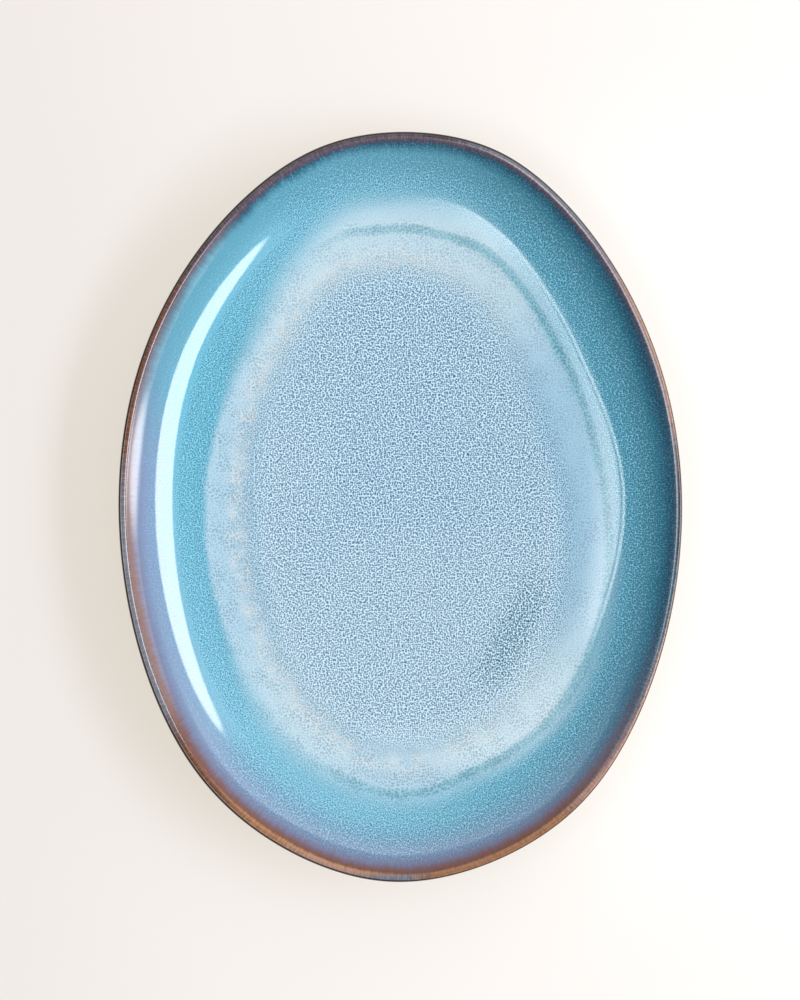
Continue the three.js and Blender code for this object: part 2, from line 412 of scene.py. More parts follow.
class Nodes:
    """Short calls that add nodes to a material or a world; inputs are numbers, tuples or nodes' outputs."""

    def __init__(self, owner):
        owner.use_nodes = True
        self.tree = owner.node_tree
        self.tree.nodes.clear()

    def add(self, kind, inputs, **settings):
        node = self.tree.nodes.new(kind)
        for key, value in settings.items():
            setattr(node, key, value)
        for socket, value in inputs.items():
            if isinstance(value, bpy.types.NodeSocket):
                self.tree.links.new(value, node.inputs[socket])
            else:
                node.inputs[socket].default_value = value
        return node

    def math(self, operation, a, b=0.0, clamp=False):
        return self.add("ShaderNodeMath", {0: a, 1: b}, operation=operation, use_clamp=clamp).outputs[0]

    def times(self, a, b):
        return self.math("MULTIPLY", a, b)

    def plus(self, a, b):
        return self.math("ADD", a, b)

    def minus(self, a, b):
        return self.math("SUBTRACT", a, b)

    def larger(self, a, b):
        return self.math("MAXIMUM", a, b)

    def vector(self, operation, a, b):
        return self.add("ShaderNodeVectorMath", {0: a, 1: b}, operation=operation).outputs[0]

    def scaled(self, vector, factor):
        node = self.add("ShaderNodeVectorMath", {0: vector, "Scale": factor}, operation="SCALE")
        return node.outputs[0]

    def dot(self, a, b):
        return self.add("ShaderNodeVectorMath", {0: a, 1: b}, operation="DOT_PRODUCT").outputs["Value"]

    def angle(self, a, b):
        """Degrees between two directions."""
        return self.math("DEGREES", self.math("ARCCOSINE", self.dot(a, b)))

    def fade(self, value, start, end, low=0.0, high=1.0):
        """A smooth change from low to high as the value goes from start to end."""
        inputs = {"Value": value, "From Min": start, "From Max": end, "To Min": low, "To Max": high}
        return self.add("ShaderNodeMapRange", inputs, interpolation_type="SMOOTHSTEP").outputs[0]

    def band(self, value, start, rise, fall, end):
        """One between rise and fall, fading to nothing at start and end."""
        return self.times(self.fade(value, start, rise), self.fade(value, end, fall))

    def mix(self, share, a, b, blend="MIX"):
        node = self.add("ShaderNodeMix", {0: share, 6: a, 7: b}, data_type="RGBA", blend_type=blend)
        return node.outputs[2]

    def noise(self, vector, scale, detail=2.0, roughness=0.5):
        inputs = {"Vector": vector, "Scale": scale, "Detail": detail, "Roughness": roughness}
        return self.add("ShaderNodeTexNoise", inputs)

    def swing(self, vector, scale, detail=2.0):
        """Noise that swings about nought."""
        return self.minus(self.noise(vector, scale, detail).outputs[0], 0.5)

    def attribute(self, name, output):
        return self.add("ShaderNodeAttribute", {}, attribute_name=name).outputs[output]

    def bump(self, height, depth):
        """A normal for a relief whose full height is a depth in millimetres."""
        inputs = {"Height": height, "Strength": 1.0, "Distance": depth * MM}
        return self.add("ShaderNodeBump", inputs).outputs[0]

    def finish(self, **inputs):
        shader = self.add("ShaderNodeBsdfPrincipled", {k.replace("_", " "): v for k, v in inputs.items()})
        output = self.add("ShaderNodeOutputMaterial", {})
        self.tree.links.new(shader.outputs[0], output.inputs[0])


def place_in_mm(n):
    """Place on the platter in millimetres."""
    return n.scaled(n.add("ShaderNodeTexCoord", {}).outputs["Object"], 1 / MM)


def drawn_out(n, rail, inset, cycles_around, cycles_down):
    """A place for noise that the run of the glaze draws out, in cycles per millimetre."""
    sideways = n.vector("MULTIPLY", rail, (cycles_around, cycles_around, 0.0))
    return n.vector("ADD", sideways, n.scaled((0.0, 0.0, cycles_down), inset))


# Scatter of the dots: how far they stray in shares of their pitch, the waves per pitch, and the randomness
DOT_STRAY = 1.3
DOT_WAVES = 0.3
DOT_RANDOMNESS = 0.75


def speckle(n, place, pitch):
    """Distance from the nearest of many dots, evenly but loosely scattered, as a share of their pitch."""
    colour = n.noise(place, DOT_WAVES / pitch, 0.0).outputs["Color"]
    shift = n.vector("SUBTRACT", colour, (0.5, 0.5, 0.5))
    loose = n.vector("ADD", place, n.scaled(shift, DOT_STRAY * pitch))
    inputs = {"Vector": loose, "Scale": 1 / pitch, "Randomness": DOT_RANDOMNESS}
    return n.add("ShaderNodeTexVoronoi", inputs, voronoi_dimensions="2D").outputs["Distance"]


def bearing_vector(degrees):
    """Unit vector that points at a bearing."""
    return (math.cos(math.radians(degrees)), math.sin(math.radians(degrees)), 0.0)


GLAZE_IOR = 1.65

# Glaze colours
WELL_BLUE = srgb(212, 236, 251)
WELL_LILAC = srgb(182, 211, 242)
WELL_AQUA = srgb(184, 220, 241)
WELL_NET = srgb(208, 236, 250)
SPECK_SLATE = srgb(18, 86, 130)
SPECK_TEAL = srgb(14, 92, 122)
HALO_PALE = srgb(196, 222, 235)
HALO_WHITE = srgb(210, 233, 243)
HALO_BLUE = srgb(166, 205, 227)
CREAM = srgb(218, 230, 234)
RING_TEAL = srgb(122, 188, 206)
TURQUOISE = srgb(111, 190, 217)
TURQUOISE_PALE = srgb(132, 198, 223)
TURQUOISE_DEEP = srgb(88, 169, 197)
TURQUOISE_NET = srgb(138, 209, 233)
SKY = srgb(102, 170, 194)
DEEP_TEAL = srgb(54, 134, 160)
NAVY = srgb(36, 84, 112)
PERIWINKLE = srgb(133, 154, 190)
MAUVE = srgb(126, 117, 141)
RUST = srgb(134, 92, 80)
MAROON = srgb(100, 74, 90)
AMBER = srgb(192, 136, 78)
LIP_GOLD = srgb(158, 106, 68)
LIP_BROWN = srgb(108, 58, 26)
LIP_TAN = srgb(174, 132, 116)
LIP_SLATE = srgb(114, 118, 132)
LIP_LILAC = srgb(80, 72, 86)
LIP_NAVY = srgb(36, 42, 58)
LIP_PLUM = srgb(66, 52, 56)
# Painted highlight: a pale line for the glint along the lip
LIP_HIGHLIGHT_LINE = srgb(180, 176, 188)
LIP_SHINE = srgb(206, 178, 158)
# Partly the iron's own black, partly painted shade on the lip's outer side
IRON_AND_SHADE_BLACK = srgb(30, 22, 20)
OUTSIDE_DEEP = srgb(58, 104, 128)
OUTSIDE_BLUE = srgb(78, 138, 160)
OUTSIDE_SPECK = srgb(36, 66, 84)

# Colours of the bare clay
CLAY_DARK = srgb(158, 136, 114)
CLAY_PALE = srgb(182, 160, 136)
CLAY_SAND = srgb(206, 188, 166)
CLAY_FLECK = srgb(92, 66, 48)

# Patches into which the kiln turned the lip: their bearing, their half width in degrees and their colour
LIP_PATCHES = [
    (0, 12, LIP_NAVY),
    (50, 26, LIP_SLATE),
    (112, 28, LIP_LILAC),
    (164, 15, LIP_BROWN),
    (192, 15, LIP_SLATE),
    (223, 14, LIP_BROWN),
    (239, 10, LIP_GOLD),
    (253, 11, LIP_TAN),
    (269, 8, LIP_SLATE),
    (296, 19, LIP_GOLD),
    (331, 17, LIP_TAN),
    (20, 11, LIP_TAN),
]

# Bearings to which the glaze drifted: warm where the iron ran, cool where the coat lies thick and painted
# shade darkens the wall turned from the window; some others place painted highlights and painted shade
WARM_SIDE = bearing_vector(250)
# Side turned from the window, where the wall is darker: partly a thick coat, partly painted shade
SHADED_COOL_SIDE = bearing_vector(5)
RING_SIDE = bearing_vector(0)
AMBER_SIDE = bearing_vector(247)
MAROON_SIDE = bearing_vector(95)
# Side turned from the window, where the painted shade along the lip's edge is widest
SHADED_EDGE_SIDE = bearing_vector(165)
BRIGHT_SIDE = bearing_vector(245)
HIGH_SIDE = bearing_vector(-18)
OPEN_SIDE = bearing_vector(95)
SHARP_SIDE = bearing_vector(183)
PALE_SIDE = bearing_vector(235)
MAUVE_SIDE = bearing_vector(190)
# Bearing of the lip's painted highlight line
HIGHLIGHT_LINE_SIDE = bearing_vector(32)
WHITE_SIDE = bearing_vector(-45)
NEAR_SIDE = bearing_vector(272)
LATE_SIDE = bearing_vector(140)
DOTTED_SIDE = bearing_vector(17)
# Side where the window's reflection falls on the wall, and the dots are painted out as if washed out by it
REFLECTION_CALM_SIDE = bearing_vector(173)
LOW_SIDE = bearing_vector(85)

# A run of the wall's teal coat out on to the floor: its middle in millimetres and the bearing along it
RUN_MIDDLE = (57.0, -62.0, 0.0)
RUN_BEARING = 62

# Lengths in millimetres over which the coats wander, cloud over, turn patchy and ripple
DRIFT_LENGTH = 42
CLOUD_LENGTH = 60
OUTSIDE_CLOUD_LENGTH = 40
CREAM_LENGTH = 6
CHANCE_LENGTH = 10
RIPPLE_LENGTH = 9

# Height of the ripple in millimetres
RIPPLE_DEPTH = 0.015

# Streaks in which the glaze ran: cycles per millimetre around and down the wall
STREAK_CYCLES = (0.5, 0.05)
HAIR_CYCLES = (1.5, 0.3)
OUTSIDE_CYCLES = (0.3, 0.04)

# Pitch of the dots in millimetres; on the wall it is that around, and the squeeze is its share of that down
FLOOR_PITCH = 0.93
HALO_PITCH = 1.3
WALL_PITCH = 0.7
WALL_SQUEEZE = 0.75

# Insets in millimetres between which the inner coats change; a band rises, stays and falls
FLOOR_NET_FADE = (58.0, 78.0)
FLOOR_DOTS_FADE = (53.0, 66.0)
HALO_FADE = (76.0, 62.0)
HALO_DOTS_BAND = (33.0, 42.0, 57.0, 70.0)
HALO_TONE_FADE = (46.0, 56.0)
CREAM_BAND = (50.0, 56.0, 59.0, 65.0)
TEAL_BAND = (40.0, 42.5, 44.0, 47.0)
PALE_START = 32.0
PALE_END = 49.0
UPPER_WALL_START = 26.0
UPPER_WALL_END = 12.0
NAVY_START = 10.0
NAVY_END = 4.0
MAUVE_FADE = (13.5, 5.0)
RUST_FADE = (8.5, 4.2)
MAROON_FADE = (5.4, 4.0)
LIP_FADE = (6.0, 3.0)
AMBER_BAND = (2.9, 3.6, 4.0, 4.7)
# Insets of the lip's painted highlight line
HIGHLIGHT_LINE_BAND = (1.6, 2.1, 2.5, 3.1)
OVER_LIP_FADE = (-0.3, -1.2)

# Lengths in millimetres down the outside between which its colours change
OUTSIDE_MAUVE_FADE = (22.0, 8.0)
OUTSIDE_BROWN_FADE = (12.0, 4.0)
# Black top edge of the outside, partly iron and partly painted shade
OUTSIDE_BLACK_FADE = (2.5, 0.5)

Glaze = namedtuple(
    "Glaze",
    "place facing inset streak hair cloud warm cool sharp pale edge border_edge lip_edge run_edge",
)


def pale_share(n, facing, border_edge, sharp):
    """Share of the pale coat over the turquoise, which it leaves sooner, later or more sharply by side."""
    open_side = n.fade(n.dot(facing, OPEN_SIDE), 0.5, 0.95)
    late = n.fade(n.angle(facing, LATE_SIDE), 42.0, 6.0, 0.0, 6.0)
    start = n.plus(n.plus(PALE_START, late), n.plus(n.times(open_side, -12.0), n.times(sharp, 8.0)))
    end = n.plus(n.plus(PALE_END, late), n.plus(n.times(open_side, -7.0), n.times(sharp, -5.0)))
    return n.fade(border_edge, start, end)


def glaze_drift(n):
    """What the inner glazes vary with: their zones' edges wander and run in fine streaks down the wall."""
    place = place_in_mm(n)
    facing = n.attribute("facing", "Vector")
    inset = n.attribute("reach", "Fac")
    rail = n.vector("ADD", place, n.scaled(facing, inset))
    drift = n.swing(place, 1 / DRIFT_LENGTH)
    streak = n.swing(drawn_out(n, rail, inset, *STREAK_CYCLES), 1.0, 3.0)
    hair = n.swing(drawn_out(n, rail, inset, *HAIR_CYCLES), 1.0, 2.0)
    edge = n.plus(inset, n.plus(n.times(drift, 5.0), n.times(streak, 3.0)))
    lip_edge = n.plus(inset, n.plus(n.times(drift, 1.0), n.times(hair, 0.8)))
    high = n.fade(n.angle(facing, HIGH_SIDE), 44.0, 0.0, 0.0, 10.5)
    low = n.fade(n.dot(facing, LOW_SIDE), 0.85, 1.0, 0.0, -3.0)
    border_edge = n.plus(edge, n.plus(high, low))
    warm_side = n.fade(n.dot(facing, WARM_SIDE), -0.3, 1.0)
    mauve_side = n.fade(n.angle(facing, MAUVE_SIDE), 32.0, 12.0)
    sharp = n.fade(n.angle(facing, SHARP_SIDE), 35.0, 10.0)
    return Glaze(
        place=place,
        facing=facing,
        inset=inset,
        streak=streak,
        hair=hair,
        cloud=n.noise(place, 1 / CLOUD_LENGTH, 3.0).outputs[0],
        warm=n.math("ADD", n.larger(warm_side, mauve_side), n.times(drift, 0.3), clamp=True),
        # Partly the thick coat's colour, partly painted shade on the wall turned from the window
        cool=n.fade(n.dot(facing, SHADED_COOL_SIDE), 0.0, 1.1),
        sharp=sharp,
        pale=pale_share(n, facing, border_edge, sharp),
        edge=edge,
        border_edge=border_edge,
        lip_edge=lip_edge,
        run_edge=n.plus(lip_edge, n.plus(n.times(streak, 2.5), n.times(hair, 2.0))),
    )


def floor_colour(n, g):
    """Pale blue that pales towards one side and turns lilac in the middle."""
    side = n.times(n.dot(g.place, BRIGHT_SIDE), 0.005)
    tone = n.plus(n.times(n.minus(g.cloud, 0.5), 0.9), side)
    colour = n.mix(n.fade(tone, -0.4, 0.4), WELL_AQUA, WELL_BLUE)
    middle = n.times(n.fade(g.inset, 85.0, 125.0), n.fade(tone, 0.3, -0.1, 0.0, 0.7))
    return n.mix(middle, colour, WELL_LILAC)


def border_colour(n, g, colour, teal_ring):
    """A pale halo with a broken cream ring inside it and a ring of teal outside."""
    coolness = n.dot(g.facing, SHADED_COOL_SIDE)
    near_side = n.fade(n.angle(g.facing, NEAR_SIDE), 40.0, 15.0, 0.0, 0.45)
    blue_side = n.larger(n.larger(n.fade(coolness, 0.8, 1.0), n.times(g.sharp, 0.65)), near_side)
    white_side = n.fade(n.angle(g.facing, WHITE_SIDE), 40.0, 15.0)
    halo = n.mix(blue_side, n.mix(white_side, HALO_PALE, HALO_WHITE), HALO_BLUE)
    colour = n.mix(n.fade(g.border_edge, *HALO_FADE), colour, halo)
    cream_side = n.fade(coolness, 0.9, 0.3, 0.0, 0.7)
    patches = n.fade(n.noise(g.place, 1 / CREAM_LENGTH, 3.0).outputs[0], 0.35, 0.65, 0.1, 1.0)
    cream = n.times(n.band(g.border_edge, *CREAM_BAND), n.times(cream_side, patches))
    colour = n.mix(cream, colour, CREAM)
    return n.mix(teal_ring, colour, RING_TEAL)


def wall_colour(n, g, colour):
    """Turquoise, deepening up the wall to teal and navy, or to periwinkle on the warm side; on the side
    turned from the window the deeper teal and wider navy are partly the coat's colour and partly painted
    shade.
    """
    pale_side = n.fade(n.dot(g.facing, PALE_SIDE), 0.3, 1.0)
    open_side = n.fade(n.dot(g.facing, OPEN_SIDE), 0.4, 1.0)
    lower_wall = n.mix(n.larger(pale_side, open_side), TURQUOISE, TURQUOISE_PALE)
    # Painted shade, partly the coat's own colour: deeper turquoise, teal and a wider navy band on the side
    # turned from the window
    lower_wall = n.mix(g.cool, lower_wall, TURQUOISE_DEEP)
    colour = n.mix(g.pale, lower_wall, colour)
    upper_wall = n.mix(g.cool, SKY, DEEP_TEAL)
    upper_wall = n.mix(g.warm, upper_wall, PERIWINKLE)
    upper_start = n.plus(UPPER_WALL_START, n.times(g.warm, 5.0))
    colour = n.mix(n.fade(g.edge, upper_start, UPPER_WALL_END), colour, upper_wall)
    navy_start = n.plus(NAVY_START, n.times(g.cool, 3.5))
    navy = n.times(n.fade(g.edge, navy_start, NAVY_END), n.minus(1.0, g.warm))
    return n.mix(navy, colour, NAVY)


def lip_body(n, g):
    """Colour over the lip, in patches that run into one another."""
    colour = LIP_PLUM
    ragged = n.plus(n.times(g.hair, 6.0), n.times(g.streak, 12.0))
    for bearing, half_width, patch in LIP_PATCHES:
        away = n.plus(n.angle(g.facing, bearing_vector(bearing)), ragged)
        colour = n.mix(n.fade(away, half_width + 6, half_width - 5), colour, patch)
    return colour


def lip_colour(n, g, colour):
    """Iron that breaks through mauve to rust or maroon below the lip, fine lines, a pale line of painted
    highlight and the black edge, partly iron and partly painted shade.
    """
    iron = n.fade(n.dot(g.facing, WARM_SIDE), -0.2, 0.6)
    maroon = n.fade(n.dot(g.facing, MAROON_SIDE), 0.05, 0.5, 0.0, 0.75)
    colour = n.mix(n.times(n.fade(g.run_edge, *MAUVE_FADE), iron), colour, MAUVE)
    colour = n.mix(n.times(n.fade(g.run_edge, *RUST_FADE), iron), colour, RUST)
    colour = n.mix(n.times(n.fade(g.run_edge, *MAROON_FADE), maroon), colour, MAROON)
    width = n.fade(n.angle(g.facing, HIGH_SIDE), 30.0, 5.0, 2.9, 1.8)
    body_start = n.plus(n.times(iron, 1.2), width)
    body = n.fade(g.lip_edge, body_start, n.plus(body_start, -0.8))
    colour = n.mix(body, colour, lip_body(n, g))
    # Painted highlight: a pale line along the lip's inner curve, where the light glints
    pale = n.fade(n.angle(g.facing, HIGHLIGHT_LINE_SIDE), 40.0, 15.0, 0.0, 0.7)
    colour = n.mix(n.times(n.band(g.lip_edge, *HIGHLIGHT_LINE_BAND), pale), colour, LIP_HIGHLIGHT_LINE)
    amber_side = n.fade(n.angle(g.facing, AMBER_SIDE), 32.0, 14.0)
    amber = n.times(amber_side, n.fade(g.streak, -0.3, 0.2, 0.3, 0.9))
    colour = n.mix(n.times(n.band(g.lip_edge, *AMBER_BAND), amber), colour, AMBER)
    on_lip = n.fade(g.inset, *LIP_FADE)
    dark_hair = n.fade(g.hair, -0.1, 0.3, 0.0, 0.4)
    colour = n.mix(n.times(dark_hair, on_lip), colour, LIP_PLUM)
    bright_hair = n.fade(g.hair, 0.1, -0.3, 0.0, 0.18)
    colour = n.mix(n.times(bright_hair, on_lip), colour, LIP_SHINE)
    # Black edge, partly iron and partly painted shade, widest on the side turned from the window
    black_width = n.fade(n.dot(g.facing, SHADED_EDGE_SIDE), -0.8, 0.0, 0.8, 1.5)
    return n.mix(n.fade(g.inset, black_width, n.times(black_width, 0.5)), colour, IRON_AND_SHADE_BLACK)


def teal_run(n, place):
    """Share of the teal run out on the floor."""
    from_middle = n.vector("SUBTRACT", place, RUN_MIDDLE)
    beside = n.math("ABSOLUTE", n.dot(from_middle, bearing_vector(RUN_BEARING + 90)))
    along = n.math("ABSOLUTE", n.dot(from_middle, bearing_vector(RUN_BEARING)))
    return n.times(n.fade(beside, 14.0, 3.0), n.fade(along, 42.0, 14.0))


def floor_dots(n, g, colour):
    """Dark dots in a pale net, close together on the floor."""
    near = n.fade(n.angle(g.facing, NEAR_SIDE), 35.0, 10.0, 0.0, -5.0)
    floor_edge = n.plus(g.border_edge, near)
    on_floor = n.fade(floor_edge, *FLOOR_NET_FADE)
    distance = speckle(n, g.place, FLOOR_PITCH)
    colour = n.mix(n.times(n.fade(distance, 0.3, 0.6), on_floor), colour, WELL_NET)
    teal = teal_run(n, g.place)
    size = n.plus(n.plus(0.38, n.times(on_floor, 0.09)), n.times(teal, 0.06))
    dots = n.fade(n.minus(size, distance), 0.0, 0.25)
    speck = n.mix(teal, SPECK_SLATE, SPECK_TEAL)
    return n.mix(n.times(dots, n.fade(floor_edge, *FLOOR_DOTS_FADE)), colour, speck)


def halo_dots(n, g, colour, teal_ring):
    """Larger and sparser dots over the halo and along the teal ring."""
    distance = speckle(n, g.place, HALO_PITCH)
    chance = n.noise(g.place, 1 / CHANCE_LENGTH, 1.0).outputs[0]
    size = n.plus(n.fade(chance, 0.3, 0.7, 0.2, 0.36), n.times(teal_ring, 0.14))
    dots = n.fade(n.minus(size, distance), -0.12, 0.2)
    on_halo = n.band(g.border_edge, *HALO_DOTS_BAND)
    pale_side = n.fade(n.dot(g.facing, PALE_SIDE), -0.5, 0.5, 0.38, 0.5)
    dotted_side = n.fade(n.angle(g.facing, DOTTED_SIDE), 35.0, 15.0, 0.34, 0.65)
    strength = n.larger(pale_side, n.times(teal_ring, dotted_side))
    speck = n.mix(n.fade(g.border_edge, *HALO_TONE_FADE), SPECK_TEAL, SPECK_SLATE)
    return n.mix(n.times(n.times(dots, on_halo), strength), colour, speck)


def wall_dots(n, g, colour):
    """Finer dots in a pale net, drawn out down the wall, fading below the lip and painted out under the
    window's reflection.
    """
    run = n.add("ShaderNodeUVMap", {}, uv_map="GlazeRun").outputs[0]
    distance = speckle(n, n.vector("MULTIPLY", run, (1.0, WALL_SQUEEZE, 0.0)), WALL_PITCH)
    # Painted highlight: the dots fade where the window's reflection falls on the upper wall
    reflection_calm_side = n.fade(n.angle(g.facing, REFLECTION_CALM_SIDE), 50.0, 36.0, 0.0, 0.65)
    reflection_calm = n.times(reflection_calm_side, n.fade(g.inset, 30.0, 26.0))
    grain = n.times(n.fade(g.edge, 5.0, 24.0, 0.25, 1.0), n.minus(1.0, reflection_calm))
    on_wall = n.times(n.minus(1.0, g.pale), grain)
    colour = n.mix(n.times(n.fade(distance, 0.42, 0.7), on_wall), colour, TURQUOISE_NET)
    return n.mix(n.times(n.fade(distance, 0.42, 0.14), on_wall), colour, SPECK_TEAL)


def outside_colour(n, place):
    """Iron at the lip, running down the outside into deep blue, with a black top edge that is partly iron
    and partly painted shade.
    """
    reach_down = n.times(n.attribute("reach", "Fac"), -1.0)
    rail = n.vector("ADD", place, n.scaled(n.attribute("facing", "Vector"), reach_down))
    streak = n.swing(drawn_out(n, rail, reach_down, *OUTSIDE_CYCLES), 1.0, 3.0)
    wandering = n.plus(reach_down, n.times(streak, 9.0))
    cloud = n.noise(place, 1 / OUTSIDE_CLOUD_LENGTH, 3.0).outputs[0]
    colour = n.mix(n.fade(cloud, 0.4, 0.65), OUTSIDE_DEEP, OUTSIDE_BLUE)
    dots = n.fade(n.noise(place, 0.8, 0.0).outputs[0], 0.45, 0.32)
    colour = n.mix(n.times(dots, 0.5), colour, OUTSIDE_SPECK)
    colour = n.mix(n.fade(wandering, *OUTSIDE_MAUVE_FADE), colour, MAUVE)
    colour = n.mix(n.fade(wandering, *OUTSIDE_BROWN_FADE), colour, LIP_BROWN)
    return n.mix(n.fade(reach_down, *OUTSIDE_BLACK_FADE), colour, IRON_AND_SHADE_BLACK)


def finish_glossy(n, place, colour, smoothest, roughest):
    """A glossy coat whose surface ripples slightly."""
    ripple = n.noise(place, 1 / RIPPLE_LENGTH).outputs[0]
    n.finish(
        Base_Color=colour,
        Roughness=n.fade(ripple, 0.3, 0.7, smoothest, roughest),
        IOR=GLAZE_IOR,
        Normal=n.bump(ripple, RIPPLE_DEPTH),
    )


def reactive_glaze(name):
    """The inner glazes, which melt into one another from the lip to the middle of the floor."""
    n = Nodes(bpy.data.materials.new(name))
    g = glaze_drift(n)
    ring_side = n.fade(n.dot(g.facing, RING_SIDE), -0.8, -0.2)
    teal_ring = n.times(n.band(g.border_edge, *TEAL_BAND), ring_side)
    ring_strength = n.fade(n.angle(g.facing, DOTTED_SIDE), 60.0, 30.0, 0.5, 0.75)
    colour = floor_colour(n, g)
    colour = border_colour(n, g, colour, n.times(teal_ring, ring_strength))
    colour = wall_colour(n, g, colour)
    colour = floor_dots(n, g, colour)
    colour = halo_dots(n, g, colour, teal_ring)
    colour = wall_dots(n, g, colour)
    colour = lip_colour(n, g, colour)
    colour = n.mix(n.fade(g.inset, *OVER_LIP_FADE), colour, outside_colour(n, g.place))
    finish_glossy(n, g.place, colour, 0.045, 0.07)
    return bpy.data.materials[name]


def outside_glaze(name):
    """The plainer coat outside and below."""
    n = Nodes(bpy.data.materials.new(name))
    place = place_in_mm(n)
    finish_glossy(n, place, outside_colour(n, place), 0.08, 0.14)
    return bpy.data.materials[name]


def bare_clay(name):
    """Fired clay left unglazed, sandy and flecked with iron."""
    n = Nodes(bpy.data.materials.new(name))
    place = place_in_mm(n)
    cloud = n.noise(place, 1 / 18, 4.0).outputs[0]
    grain = n.noise(place, 1.6, 3.0).outputs[0]
    fleck = n.noise(place, 0.55, 1.0).outputs[0]
    colour = n.mix(n.fade(cloud, 0.35, 0.65), CLAY_DARK, CLAY_PALE)
    colour = n.mix(n.times(n.fade(grain, 0.5, 0.7), 0.4), colour, CLAY_SAND)
    colour = n.mix(n.times(n.fade(fleck, 0.66, 0.74), 0.8), colour, CLAY_FLECK)
    n.finish(
        Base_Color=colour,
        Roughness=n.fade(grain, 0.3, 0.7, 0.78, 0.92),
        Normal=n.bump(grain, 0.08),
    )
    return bpy.data.materials[name]


# Assembly


def coat(zone, edge=()):
    """Rings of a closed coat over a zone, with its rolled edge if it has one, and its spans that show."""
    surface = zone_rings(zone, skin, 1)
    underface = zone_rings(zone, clay, -1)[::-1]
    if zone == "base":
        surface = [*edge[::-1], *surface]
    else:
        surface = [*surface, *edge]
    return surface + underface, range(len(surface) - 1)


def add_piece(node, slot, rings, shown, bake, material):
    """One finished piece in place of its CAD node."""
    piece = sweep(node + "_look", rings, shown, bake)
    piece.data.materials.append(material)
    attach(piece, "root")
    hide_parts(node)


outer_coat = coat("outer", rolled_edge(zone_rows["outer"].stop - 1, -1))
base_coat = coat("base", rolled_edge(zone_rows["base"].start, 1))

inner_look = reactive_glaze("reactive_glaze")
outer_look = outside_glaze("outside_glaze")
clay_look = bare_clay("bare_clay")

add_piece("well_glaze", "well_glaze", *coat("well"), bake_plan, inner_look)
add_piece("well_border_glaze", "well_border_glaze", *coat("border"), bake_strips(count=5), inner_look)
add_piece("wall_glaze", "wall_glaze", *coat("wall"), bake_strips(count=5), inner_look)
add_piece("rim_glaze", "rim_glaze", *coat("rim"), bake_strips(count=6), inner_look)
add_piece("outer_glaze", "outer_glaze", *outer_coat, bake_strips(count=5), outer_look)
add_piece("base_glaze", "base_glaze", *base_coat, bake_plan, outer_look)

body = [ring(clay[i], normals[i], reach[i], i in (0, len(rows) - 1)) for i in range(len(rows))]


def foot_rings():
    """The foot's section from the clay of the underside down to the table and back."""
    inner_inset = FOOT_INSET + FOOT_WIDTH
    outer_corner = (FOOT_INSET + FOOT_ROUNDING, FOOT_ROUNDING)
    inner_corner = (inner_inset - FOOT_ROUNDING, FOOT_ROUNDING)
    section = [Row(FOOT_INSET, FOOT_SEAT, math.pi / 2, 1.0)]
    section += arc(outer_corner, FOOT_ROUNDING, math.pi / 2, math.pi, FOOT_ROWS)
    section += arc(inner_corner, FOOT_ROUNDING, math.pi, 1.5 * math.pi, FOOT_ROWS)
    section += [Row(inner_inset, FOOT_SEAT, 1.5 * math.pi, 1.0)]
    rings = []
    for row in section:
        points = np.column_stack([plan_points(row.inset), np.full(COLUMNS, row.height)])
        rings.append(ring(points, math.sin(row.tilt) * FACING + math.cos(row.tilt) * UP, 0.0))
    return rings


foot = foot_rings()
add_piece("stoneware_body", "stoneware", body, range(lip_row, len(body) - 1), bake_plan, clay_look)
add_piece("foot_ring", "bare_foot", foot, range(len(foot) - 1), bake_strips(count=6), clay_look)


# Stage

TABLE_HALF = 3.0
table_corners = [(x * TABLE_HALF, y * TABLE_HALF, 0) for x, y in [(-1, -1), (1, -1), (1, 1), (-1, 1)]]
table_mesh = bpy.data.meshes.new("table")
table_mesh.from_pydata(table_corners, [], [(0, 1, 2, 3)])
floor = bpy.data.objects.new("table", table_mesh)
bpy.context.scene.collection.objects.link(floor)

# The table as other things see it, its soft part and its glow as the viewer sees it, and the glow's rise
TABLE_WHITE = (0.9, 0.89, 0.87, 1.0)
TABLE_SOFT = (0.3, 0.316, 0.41, 1.0)
TABLE_GLOW = (0.565, 0.5, 0.37, 1.0)
GLOW_RISE = (0.45, 0.45, 0.45, 1.0)


